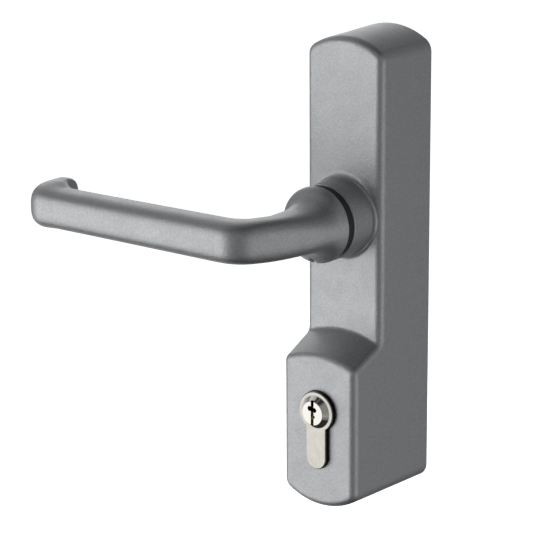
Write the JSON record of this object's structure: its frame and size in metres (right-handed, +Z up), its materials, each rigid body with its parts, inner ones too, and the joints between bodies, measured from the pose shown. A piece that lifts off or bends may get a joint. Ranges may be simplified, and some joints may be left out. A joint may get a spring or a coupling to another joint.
{
  "type": "exit device outside lever",
  "caption": "Outside lever trim for a panic exit device: narrow drafted housing with a sprung return lever on a round collar, and a profile key cylinder in the deeper lower block.",
  "frame": {"origin": "lever axis where it meets the door plane", "axes": "+Z up, +Y into the door, +X to the right of a person facing the outside; the lever points along -X"},
  "size_m": [0.1382, 0.0991, 0.1946],
  "materials": {
    "housing_paint": "satin silver-grey powder coat",
    "lever_paint": "satin silver-grey powder coat",
    "black_nylon": "moulded black",
    "nickel_plate": "satin nickel plate on brass",
    "plug_nickel": "bright nickel plate on brass",
    "pin_brass": "turned",
    "zinc_steel": "bright zinc plate",
    "spring_steel": "drawn",
    "black_steel": "black oxide"
  },
  "bodies": {
    "frame": {"housing": "housing_paint", "back_plate": "zinc_steel", "back_plate_screws": "zinc_steel", "fixing_posts": "zinc_steel", "neck_bush": "black_nylon", "thrust_washer": "zinc_steel", "slide_guide_pins": "zinc_steel", "stop_pins": "zinc_steel", "return_spring": "spring_steel", "cylinder_body": "nickel_plate", "driver_pins": "pin_brass", "pin_springs": "spring_steel", "cylinder_screw": "zinc_steel"},
    "lever": {"lever_handle": "lever_paint", "lever_grub_screw": "black_steel", "lever_spindle": "zinc_steel", "lever_circlip": "spring_steel", "driver_plate": "zinc_steel", "driver_screw": "zinc_steel"},
    "hub": {"drive_hub": "zinc_steel"},
    "pin": {"coupling_pin": "spring_steel"},
    "slide": {"lock_slide": "zinc_steel"},
    "plug": {"key_plug": "plug_nickel", "key_pins": "pin_brass", "cylinder_cam": "zinc_steel", "plug_clip": "spring_steel"}
  },
  "joints": [
    {"name": "lever_turn", "type": "hinge", "parent": "frame", "child": "lever", "pos_m": [0, 0, 0], "axis": [0, -1, 0], "range_deg": [0, 45], "stiffness_Nm_per_rad": 1.2, "springref_deg": -34.38, "deforming": ["return_spring"]},
    {"name": "hub_turn", "type": "hinge", "parent": "frame", "child": "hub", "pos_m": [0, 0, 0], "axis": [0, -1, 0], "range_deg": [0, 45]},
    {"name": "key_turn", "type": "hinge", "parent": "frame", "child": "plug", "pos_m": [0, 0, -0.07805], "axis": [0, 1, 0], "range_deg": [0, 90]},
    {"name": "slide_drop", "type": "slide", "parent": "frame", "child": "slide", "axis": [0, 0, -1], "range_m": [0, 0.0036]},
    {"name": "pin_draw", "type": "slide", "parent": "hub", "child": "pin", "axis": [0, 0, -1], "range_m": [0, 0.0036]}
  ],
  "couplings": [
    {"joint": "hub_turn", "follows": "lever_turn", "ratio": 1},
    {"joint": "key_turn", "follows": "slide_drop", "rad_per_m": 436.33},
    {"joint": "pin_draw", "follows": "slide_drop", "ratio": 1}
  ]
}
